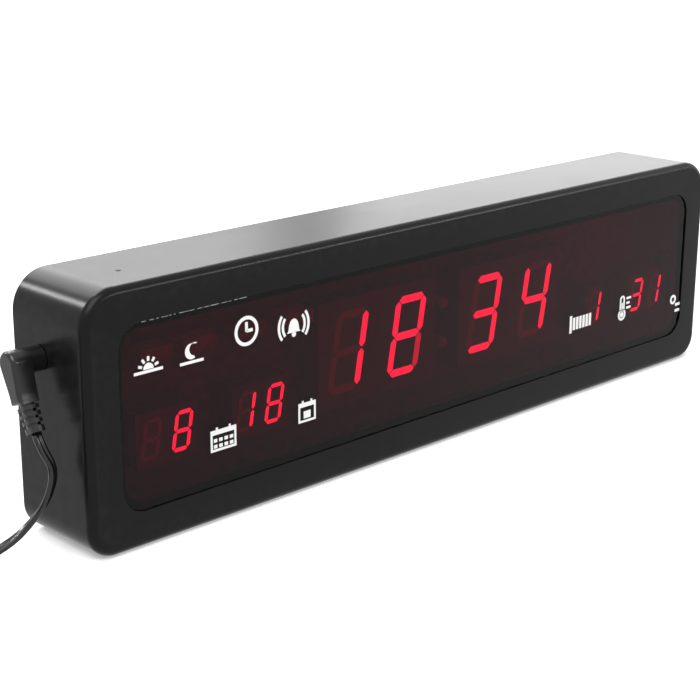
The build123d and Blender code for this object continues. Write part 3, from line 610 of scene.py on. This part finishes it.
def circle(x: float, z: float, radius: float, count: int = 28, start: float = 0.0,
           turn: float = 360.0) -> list[Point]:
    """Points round a circle or along an arc.

    Args:
        x: Centre.
        z: Centre.
        radius: Radius.
        count: Number of points.
        start: First angle in degrees.
        turn: Angle that the points cover.

    Returns:
        The points.
    """
    last = count if turn == 360.0 else count - 1
    angles = [math.radians(start + turn * number / last) for number in range(count)]
    return [(x + radius * math.cos(angle), z + radius * math.sin(angle)) for angle in angles]


def bar(x: float, z: float, length: float, width: float, angle: float = 0.0) -> list[Point]:
    """Corners of a bar.

    Args:
        x: Centre.
        z: Centre.
        length: Length.
        width: Width.
        angle: Direction in degrees.

    Returns:
        The corners.
    """
    c, s = math.cos(math.radians(angle)), math.sin(math.radians(angle))
    corners = ((-length, -width), (length, -width), (length, width), (-length, width))
    return [(x + (a * c - b * s) / 2, z + (a * s + b * c) / 2) for a, b in corners]


def band(x: float, z: float, radius: float, width: float, start: float = 0.0, turn: float = 360.0,
         count: int = 28) -> list[list[Point]]:
    """Outlines of the pieces of a ring or arc.

    Args:
        x: Centre.
        z: Centre.
        radius: Radius of its middle.
        width: Width of the line.
        start: First angle in degrees.
        turn: Angle that it covers.
        count: Number of pieces.

    Returns:
        One outline for each piece.
    """
    edges = []
    for number in range(count + 1):
        angle = math.radians(start + turn * number / count)
        edges.append([(x + r * math.cos(angle), z + r * math.sin(angle))
                      for r in (radius - width / 2, radius + width / 2)])
    return [[a[0], a[1], b[1], b[0]] for a, b in zip(edges, edges[1:])]


def page(x: float, z: float, width: float, height: float, line: float) -> list[list[Point]]:
    """Outlines of a calendar page: a frame with a heavy top.

    Args:
        x: Centre.
        z: Centre.
        width: Outer width.
        height: Outer height.
        line: Width of the frame's lines.

    Returns:
        The outlines.
    """
    w, h = width / 2, height / 2
    return [bar(x - w + line / 2, z, line, height), bar(x + w - line / 2, z, line, height),
            bar(x, z - h + line / 2, width - 2 * line, line), bar(x, z + h - line, width - 2 * line, 2 * line),
            bar(x - w / 2, z + h + line / 2, line, line), bar(x + w / 2, z + h + line / 2, line, line)]


def outlines(mark: Mark) -> list[list[Point]]:
    """Shapes that make up a mark, about its centre, in millimetres.

    Args:
        mark: The mark.

    Returns:
        Closed outlines.
    """
    rays = [bar(3.2 * math.cos(math.radians(a)), -1.6 + 3.2 * math.sin(math.radians(a)), 1.4, 0.85, a)
            for a in (20, 55, 90, 125, 160)]
    crescent = (circle(0, 0.4, 2.5, 26, 60, 240)
                + circle(1.15, 0.95, 2.05, 20, 262, -204))
    bell = [(-2.6, -1.7), (-2.1, -1.2), (-1.75, 0.6), (-1.25, 1.7), (-0.45, 2.3), (0.45, 2.3), (1.25, 1.7),
            (1.75, 0.6), (2.1, -1.2), (2.6, -1.7)]
    shapes: dict[Mark, list[list[Point]]] = {
        Mark.DAY: [circle(0, -1.6, 1.9, 16, 0, 180), bar(0, -2.3, 10.6, 0.9), *rays],
        Mark.NIGHT: [crescent, bar(0, -3.0, 9.0, 0.9)],
        Mark.CHIME: [*band(0, 0, 4.1, 1.1), bar(0, 1.3, 1.0, 2.9), bar(1.2, 0, 2.4, 1.0)],
        Mark.BELL: [bell, circle(0, -2.3, 0.8, 12), *band(0, 0.3, 4.2, 0.85, -38, 76, 8),
                    *band(0, 0.3, 5.7, 0.85, -38, 76, 8), *band(0, 0.3, 4.2, 0.85, 142, 76, 8),
                    *band(0, 0.3, 5.7, 0.85, 142, 76, 8)],
        Mark.MONTH: [*page(0, 0, 10.6, 7.2, 0.8),
                     *[bar(x, z, 1.4, 1.15) for x in (-3.3, -1.1, 1.1, 3.3) for z in (-1.9, 0.1)]],
        Mark.DATE: [*page(0, 0, 8.2, 7.2, 0.8), bar(0, -0.9, 3.2, 2.6)],
        Mark.WEEK: [bar(-6.0 + 2.0 * number, 0, 1.4, 7.0 if number == 0 else 5.0) for number in range(7)],
        Mark.WARMTH: [*band(0, -2.2, 1.9, 0.9), circle(0, -2.2, 1.1, 14), bar(-1.1, 1.6, 0.85, 4.6),
                      bar(1.1, 1.6, 0.85, 4.6), *band(0, 3.9, 1.1, 0.85, 0, 180, 10), bar(0, 0.6, 0.7, 3.8),
                      bar(4.0, 3.9, 2.8, 0.9), bar(3.6, 2.0, 2.0, 0.9), bar(4.0, 0.1, 2.8, 0.9)],
        Mark.DEGREE: [*band(-1.5, 2.1, 1.4, 0.95, count=20), bar(1.9, -0.2, 3.6, 1.1), bar(1.9, -2.6, 3.6, 1.1)],
        Mark.RING: [*band(0, 0, 1.3, 0.6, count=20)],
        Mark.UP: [[(-1.6, -1.2), (1.6, -1.2), (0, 1.5)]],
        Mark.DOWN: [[(-1.6, 1.2), (0, -1.5), (1.6, 1.2)]],
    }
    return shapes[mark]


def raise_outline(mesh: bmesh.types.BMesh, outline: Sequence[Point], x: float, z: float, y_near: float,
                  y_far: float) -> None:
    """Add an upright slab over an outline.

    Args:
        mesh: The mesh that grows.
        outline: Closed outline in millimetres.
        x: Place of the outline's origin in millimetres.
        z: Place of the outline's origin in millimetres.
        y_near: One face, in metres.
        y_far: The other face, in metres.
    """
    rims = [[mesh.verts.new(((x + a) * MM, y, (z + b) * MM)) for a, b in outline] for y in (y_near, y_far)]
    mesh.faces.new(rims[0])
    mesh.faces.new(reversed(rims[1]))
    count = len(outline)
    for number in range(count):
        following = (number + 1) % count
        mesh.faces.new((rims[0][number], rims[1][number], rims[1][following], rims[0][following]))


# ---------------------------------------------------------------- the clock's sub-assemblies
@dataclass
class CaseShell:
    """Front housing, rear cover and the screws that join them."""

    gate_x: float = -138.6
    gate_y: float = -2.1
    gate_radius: float = 0.9
    gate_height: float = 0.12
    key_marks: tuple[Mark, ...] = (Mark.RING, Mark.UP, Mark.DOWN, Mark.BELL)
    mark_drop: float = 8.0
    mark_rise: float = 0.15
    # Painted glint: a broken line of light grey on the lens pocket's upper edge, where the edge catches light.
    glint_start: float = -142.8
    glint_end: float = -101.0
    glint_height: float = 0.18
    glint_depth: float = 0.08
    glint_longest: float = 3.2

    def gate(self, workshop: Workshop) -> None:
        """Add the low stub that the mould's gate leaves on top of the case.

        Args:
            workshop: Materials.
        """
        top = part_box("front_housing")[1].z / MM
        mesh = bmesh.new()
        rows = ((1.0, -0.05), (0.9, self.gate_height), (0.35, self.gate_height * 0.6))
        rims = [[mesh.verts.new(((self.gate_x + a) * MM, (self.gate_y + b) * MM, (top + height) * MM))
                 for a, b in circle(0, 0, self.gate_radius * share, 16)] for share, height in rows]
        for low, high in zip(rims, rims[1:]):
            for number in range(16):
                following = (number + 1) % 16
                mesh.faces.new((low[number], low[following], high[following], high[number]))
        mesh.faces.new(rims[-1])
        mesh.faces.new(reversed(rims[0]))
        workshop.add("gate_stub", mesh, "black_abs", "case", smooth=True)

    def marks(self, workshop: Workshop) -> None:
        """Print a plain mark under each setting key.

        Args:
            workshop: Materials.
        """
        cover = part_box("rear_cover")[1].y
        for number, mark in enumerate(self.key_marks, 1):
            low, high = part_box(f"setting_key_{number}")
            centre = (low + high) / 2 / MM
            mesh = bmesh.new()
            for outline in outlines(mark):
                mirrored = [(-a, b) for a, b in outline]
                raise_outline(mesh, mirrored, centre.x, centre.z - self.mark_drop, cover,
                              cover + self.mark_rise * MM)
            workshop.add(f"key_mark_{number}", mesh, "white_ink", "case", "key_plastic")

    def paint_glint(self, workshop: Workshop) -> None:
        """Paint a glint on the upper edge of the lens pocket: a broken line of light grey where the edge catches
        light.

        Args:
            workshop: Materials.
        """
        chance = random.Random(11)
        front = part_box("front_housing")[0].y / MM
        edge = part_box("window_lens")[1].z / MM + 0.25
        mesh = bmesh.new()
        x = self.glint_start
        while x < self.glint_end:
            length = chance.uniform(0.4, self.glint_longest)
            high = self.glint_height * chance.uniform(0.5, 1.0)
            raise_outline(mesh, bar(x + length / 2, edge + high / 2, length, high), 0.0, 0.0,
                          (front - self.glint_depth) * MM, (front + 0.02) * MM)
            x += length + chance.uniform(0.15, 1.6)
        workshop.add("pocket_painted_glint", mesh, "painted_glint_grey", "case", "black_abs")

    def build(self, workshop: Workshop) -> None:
        """Dress the case and add its small details.

        Args:
            workshop: Materials.
        """
        workshop.dress_nodes("black_abs", "front_housing")
        workshop.dress_nodes("cover_abs", "rear_cover")
        workshop.dress_nodes("screw_steel", "cover_screws", "board_screws")
        self.gate(workshop)
        # Painted glint along the lens pocket's upper edge.
        self.paint_glint(workshop)
        self.marks(workshop)


@dataclass
class Window:
    """Smoked lens and the marks printed on it."""

    ink: float = 0.12
    legends: tuple[tuple[str, Mark, float, float, float], ...] = (
        ("day", Mark.DAY, -140.3, 61.9, 1.08),
        ("night", Mark.NIGHT, -122.8, 61.9, 1.08),
        ("chime", Mark.CHIME, -99.4, 64.4, 1.12),
        ("alarm", Mark.BELL, -78.2, 61.7, 1.2),
        ("month", Mark.MONTH, -110.2, 29.0, 1.05),
        ("date", Mark.DATE, -72.2, 29.4, 1.0),
        ("week", Mark.WEEK, 81.2, 31.6, 1.05),
        ("warmth", Mark.WARMTH, 109.6, 31.6, 1.1),
        ("degree", Mark.DEGREE, 148.6, 26.4, 1.15),
    )

    def build(self, workshop: Workshop) -> None:
        """Dress the lens and print its marks.

        Args:
            workshop: Materials.
        """
        workshop.dress_nodes("smoked_lens", "window_lens")
        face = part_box("window_lens")[0].y
        for name, mark, x, z, scale in self.legends:
            mesh = bmesh.new()
            for outline in outlines(mark):
                sized = [(a * scale, b * scale) for a, b in outline]
                raise_outline(mesh, sized, x, z, face - self.ink * MM, face)
            workshop.add(f"mark_{name}", mesh, "white_ink", "case", "key_plastic")


@dataclass
class Display:
    """Board with its digit blocks, lamps and small parts."""

    modules: tuple[str, ...] = ("hour", "minute", "month", "date", "weekday", "temperature")

    def build(self, workshop: Workshop) -> None:
        """Dress the board, the digits and everything on the board.

        Args:
            workshop: Materials.
        """
        for name in self.modules:
            workshop.dress_nodes("module_plastic", f"{name}_module")
            workshop.dress_nodes("lit_resin", f"{name}_lit_bars")
            # The unlit bars carry a faint painted glow for the dim light inside the case.
            workshop.dress_nodes("dark_resin", f"{name}_dark_bars")
        # The unlit colon and indicator lamps carry a faint painted glow.
        workshop.dress_nodes("red_resin", "colon_leds", "indicator_lights")
        workshop.dress_nodes("board_laminate", "display_board")
        workshop.dress_nodes("chip_resin", "clock_chip", "driver_chips", "resistors", "sounder")
        workshop.dress_nodes("tinned_metal", "display_pins", "crystal", "cell_contacts", "inlet_contacts")
        workshop.dress_nodes("can_aluminium", "capacitors")
        workshop.dress_nodes("sensor_epoxy", "temperature_sensor")
        workshop.dress_nodes("holder_plastic", "cell_holder", "key_switches", "inlet_jack")
        workshop.dress_nodes("cell_steel", "coin_cell")


@dataclass
class Controls:
    """Setting keys and the battery cap on the rear."""

    keys: int = 4

    def build(self, workshop: Workshop) -> None:
        """Dress the keys and the cap.

        Args:
            workshop: Materials.
        """
        workshop.dress_nodes("key_plastic", *[f"setting_key_{number}" for number in range(1, self.keys + 1)])
        workshop.dress_nodes("cover_abs", "battery_cap")


@dataclass
class SupplyLead:
    """Flat twin lead from the plug, through its coil, to the adapter."""

    width: float = 3.4
    core: float = 1.95
    exit: tuple[float, float, float] = (-173.6, -4.092, 43.097)
    route: tuple[tuple[float, float, float], ...] = (
        (-173.6, -6.308, 38.840), (-169.8, -7.8, 30.815), (-173.0, -8.2, 22.454), (-175.0, -4.5, 15.903),
        (-182.5, -2.0, 8.490), (-192.5, 2.5, 3.448), (-201.676, 10.902, 2.4), (-211.041, 18.405, 2.4))
    tail: tuple[tuple[float, float, float], ...] = (
        (-243.644, 20.885, 14.46), (-255.769, 13.885, 14.46), (-269.769, 13.885, 14.46))
    coil_centre: Point = (-228.7, 1.8)
    coil_outer: float = 24.0
    coil_pitch: float = 4.02
    coil_floor: float = 2.4
    coil_start: float = 51.3
    turns: float = 9.190833
    layers: int = 4
    points_per_turn: int = 16
    steps: int = 6
    free_run: float = 0.076
    length: float = 1.232

    def coil_points(self) -> list[Vector]:
        """Control points of the coil: in and out again, layer by layer.

        Returns:
            The points in millimetres.
        """
        count = math.ceil(self.turns * self.points_per_turn)
        step = self.turns / count
        stretch = 1 / math.cos(math.pi * step)
        per_layer = self.turns / self.layers
        points = []
        for number in range(count + 1):
            turn = number * step
            phase = (turn / per_layer) % 2
            inward = phase if phase < 1 else 2 - phase
            radius = (self.coil_outer - self.coil_pitch * per_layer * inward) * stretch
            layer = 0.0
            for crossing in range(1, self.layers):
                share = min(max((turn - crossing * per_layer) / 0.5 + 0.5, 0.0), 1.0)
                layer += (1 - math.cos(math.pi * share)) / 2
            angle = math.radians(self.coil_start + 360 * turn)
            points.append(Vector((self.coil_centre[0] + radius * math.cos(angle),
                                  self.coil_centre[1] + radius * math.sin(angle),
                                  self.coil_floor + self.coil_pitch * layer)))
        return points

    def centre_line(self) -> list[Vector]:
        """Smooth line through the whole lead.

        Returns:
            Points along it in metres.
        """
        points = [Vector(self.exit), *map(Vector, self.route), *self.coil_points(), *map(Vector, self.tail)]
        curve = bpy.data.curves.new("lead_line", "CURVE")
        curve.dimensions = "3D"
        spline = curve.splines.new("NURBS")
        spline.points.add(len(points) - 1)
        for knot, point in zip(spline.points, points):
            knot.co = (*(point * MM), 1.0)
        spline.order_u = 3
        spline.use_endpoint_u = True
        spline.resolution_u = self.steps
        carrier = bpy.data.objects.new("lead_line", curve)
        line = bpy.data.meshes.new_from_object(carrier)
        found = [vertex.co.copy() for vertex in line.vertices]
        bpy.data.objects.remove(carrier)
        bpy.data.meshes.remove(line)
        return found

    def profile(self) -> list[Point]:
        """Section of the twin lead: two round cores joined by a web, wide side along the first number.

        Returns:
            Points round the section in millimetres.
        """
        offset = (self.width - self.core) / 2
        radius = self.core / 2
        waist = math.degrees(math.acos(min(1.0, offset * 0.78 / radius)))
        half = circle(offset, 0, radius, 11, waist - 180, 360 - 2 * waist)
        return half + [(-a, -b) for a, b in half]

    def wide_sides(self, line: Sequence[Vector]) -> list[Vector]:
        """Direction of the lead's wide side at each point: upright once the twist is over.

        Args:
            line: Points along the lead.

        Returns:
            Unit directions.
        """
        ways = [(after - before).normalized() for before, after in zip([line[0], *line], [*line[1:], line[-1]])]
        run = [0.0]
        for before, after in zip(line, line[1:]):
            run.append(run[-1] + (after - before).length)
        carried = Vector((1, 0, 0))
        sides, uprights, moved = [], [], []
        for way in ways:
            carried = (carried - way * carried.dot(way)).normalized()
            upright = (Vector((0, 0, 1)) - way * way.z).normalized()
            moved.append(carried.copy())
            uprights.append(upright)
        last = next(number for number, along in enumerate(run) if along >= self.free_run)
        angle = math.atan2(ways[last].dot(moved[last].cross(uprights[last])), moved[last].dot(uprights[last]))
        for number, way in enumerate(ways):
            if number >= last:
                sides.append(uprights[number])
                continue
            share = run[number] / run[last]
            share = share * share * (3 - 2 * share)
            sides.append(Quaternion(way, angle * share) @ moved[number])
        return sides

    def build(self, workshop: Workshop) -> None:
        """Sweep the lead and dress what is on it.

        Args:
            workshop: Materials.
        """
        line = self.centre_line()
        sides = self.wide_sides(line)
        ways = [(after - before).normalized() for before, after in zip([line[0], *line], [*line[1:], line[-1]])]
        mesh = bmesh.new()
        rims = []
        for point, wide, way in zip(line, sides, ways):
            thin = way.cross(wide)
            rims.append([mesh.verts.new(point + (wide * a + thin * b) * MM) for a, b in self.profile()])
        count = len(rims[0])
        for low, high in zip(rims, rims[1:]):
            for number in range(count):
                following = (number + 1) % count
                mesh.faces.new((low[number], low[following], high[following], high[number]))
        mesh.faces.new(reversed(rims[0]))
        mesh.faces.new(rims[-1])
        lead = workshop.add("twin_lead", mesh, "lead_vinyl", "supply", smooth=True)
        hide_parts("supply_lead", "lead_coil", "lead_tail")
        workshop.dress_nodes("lead_vinyl", "plug_moulding", "plug_strain_relief", "adapter_strain_relief")
        workshop.dress_nodes("nickel_plate", "plug_barrel")
        workshop.dress_nodes("tie_plastic", "coil_tie")


@dataclass
class WallAdapter:
    """Mains adapter at the far end of the lead."""

    def build(self, workshop: Workshop) -> None:
        """Dress the adapter's case, pins and inner parts.

        Args:
            workshop: Materials.
        """
        workshop.dress_nodes("adapter_abs", "wall_adapter_cover", "wall_adapter_base")
        workshop.dress_nodes("nickel_plate", "adapter_pins")
        workshop.dress_nodes("tie_plastic", "pin_sleeves")
        workshop.dress_nodes("core_steel", "adapter_transformer")
        workshop.dress_nodes("board_laminate", "adapter_board")


# ---------------------------------------------------------------- studio
@dataclass(frozen=True)
class Softbox:
    """A large soft lamp aimed at a point."""

    name: str
    place: tuple[float, float, float]
    aim: tuple[float, float, float]
    width: float
    height: float
    power: float
    colour: Colour = (1.0, 1.0, 1.0)

    def build(self) -> None:
        """Add the lamp."""
        lamp = bpy.data.lights.new(self.name, "AREA")
        lamp.shape = "RECTANGLE"
        lamp.size, lamp.size_y = self.width, self.height
        lamp.energy = self.power
        lamp.color = self.colour
        holder = bpy.data.objects.new(self.name, lamp)
        holder.location = self.place
        way = Vector(self.aim) - Vector(self.place)
        holder.rotation_euler = way.to_track_quat("-Z", "Y").to_euler()
        bpy.context.scene.collection.objects.link(holder)


@dataclass
class Studio:
    """Camera, floor, background and lamps."""

    place: tuple[float, float, float] = (-0.43353, -0.41272, 0.21705)
    azimuth: float = 44.149
    down: float = 17.0615
    roll: float = 0.228
    lens: float = 83.04
    shift: Point = (-0.00093, -0.00387)
    floor_half: float = 12.0
    lamps: tuple[Softbox, ...] = (
        Softbox("key_softbox", (-0.9, -0.5, 1.6), (0.0, 0.0, 0.05), 1.4, 1.4, 26.0),
        Softbox("back_softbox", (0.5, 1.6, 1.12), (0.0, 0.0, 0.05), 1.6, 1.2, 20.0),
        Softbox("side_softbox", (1.6, -0.7, 0.7), (0.0, 0.0, 0.05), 1.0, 1.0, 2.5),
        Softbox("far_softbox", (1.85, 1.06, 0.5), (0.05, 0.0, 0.08), 1.3, 0.9, 7.0),
        Softbox("corner_strip", (-0.68, 1.26, 0.91), (-0.16, 0.0, 0.08), 0.16, 0.16, 5.0),
        Softbox("high_softbox", (-0.084, 0.84, 1.36), (-0.19, 0.0, 0.01), 0.5, 0.3, 6.0),
        Softbox("edge_strip", (1.1, -1.5, 0.78), (0.0, 0.0, 0.08), 1.4, 0.1, 11.0),
    )

    def camera(self) -> None:
        """Add the camera at the viewing angle."""
        azimuth, down, roll = (math.radians(angle) for angle in (self.azimuth, self.down, self.roll))
        forward = Vector((math.sin(azimuth) * math.cos(down), math.cos(azimuth) * math.cos(down), -math.sin(down)))
        level = Vector((math.cos(azimuth), -math.sin(azimuth), 0))
        above = level.cross(forward)
        right = level * math.cos(roll) + above * math.sin(roll)
        up = above * math.cos(roll) - level * math.sin(roll)
        data = bpy.data.cameras.new("camera")
        data.sensor_width = 36.0
        data.lens = self.lens
        data.shift_x, data.shift_y = self.shift
        data.clip_start = 0.01
        holder = bpy.data.objects.new("camera", data)
        bpy.context.scene.collection.objects.link(holder)
        rotation = Matrix((right, up, -forward)).transposed().to_4x4()
        holder.matrix_world = Matrix.Translation(self.place) @ rotation
        bpy.context.scene.camera = holder

    @staticmethod
    def seen_directly(graph: Graph) -> bpy.types.NodeSocket:
        """Find rays from the camera, from mirrors and through glass.

        Args:
            graph: The graph of a material or world.

        Returns:
            1 for such a ray.
        """
        ray = graph.node("ShaderNodeLightPath").outputs
        either = graph.math("MAXIMUM", ray["Is Camera Ray"], ray["Is Glossy Ray"])
        return graph.math("MAXIMUM", either, ray["Is Transmission Ray"])

    def background(self) -> None:
        """White to the camera and a plain level of light to everything else."""
        world = bpy.data.worlds.new("studio")
        world.use_nodes = True
        bpy.context.scene.world = world
        graph = Graph(world.node_tree)
        strength = graph.scale(self.seen_directly(graph), 0.55, 1.0)
        shader = graph.node("ShaderNodeBackground", {"Color": (1.0, 1.0, 1.0), "Strength": strength})
        graph.node("ShaderNodeOutputWorld", {"Surface": shader.outputs[0]})

    def floor(self) -> None:
        """Pale floor that keeps the shadow and melts into the background."""
        half = self.floor_half
        mesh = bmesh.new()
        mesh.faces.new([mesh.verts.new((x, y, 0)) for x, y in ((-half, -half), (half, -half), (half, half),
                                                               (-half, half))])
        data = bpy.data.meshes.new("floor")
        mesh.to_mesh(data)
        mesh.free()
        piece = bpy.data.objects.new("floor", data)
        piece.location.z = -0.0002
        bpy.context.scene.collection.objects.link(piece)
        material = bpy.data.materials.new("floor_white")
        material.use_nodes = True
        graph = Graph(material.node_tree)
        ray = graph.node("ShaderNodeLightPath").outputs
        matt = graph.node("ShaderNodeBsdfDiffuse", {"Color": graph.blend(
            ray["Is Glossy Ray"], (0.82, 0.82, 0.82), (0.0, 0.0, 0.0))})
        place = graph.node("ShaderNodeTexCoord").outputs["Object"]
        away = graph.node("ShaderNodeVectorMath", {0: place}, operation="LENGTH").outputs["Value"]
        level = graph.math("MAXIMUM", graph.scale(away, 0.3, 1.0, 0.7, 2.2), ray["Is Glossy Ray"])
        strength = graph.math("MULTIPLY", self.seen_directly(graph), level)
        glow = graph.node("ShaderNodeEmission", {"Color": (1.0, 1.0, 1.0), "Strength": strength})
        both = graph.node("ShaderNodeAddShader", {0: matt.outputs[0], 1: glow.outputs[0]})
        graph.node("ShaderNodeOutputMaterial", {"Surface": both.outputs[0]})
        data.materials.append(material)

    def build(self) -> None:
        """Set up everything that isn't part of the clock."""
        self.camera()
        self.background()
        self.floor()
        for lamp in self.lamps:
            lamp.build()
        bpy.context.scene.view_settings.view_transform = "Standard"


def corners(pair: Iterable[Vector]) -> list[list[float]]:
    """Turn a box's two corners into plain lists."""
    return [list(corner) for corner in pair]


def main() -> None:
    """Build the studio and the clock."""
    logging.basicConfig(level=logging.INFO, format="%(message)s")
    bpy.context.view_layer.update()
    Studio().build()
    workshop = Workshop()
    for part in (SupplyLead(), CaseShell(), Window(), Display(), Controls(), WallAdapter()):
        part.build(workshop)


if __name__ == "__main__":
    main()
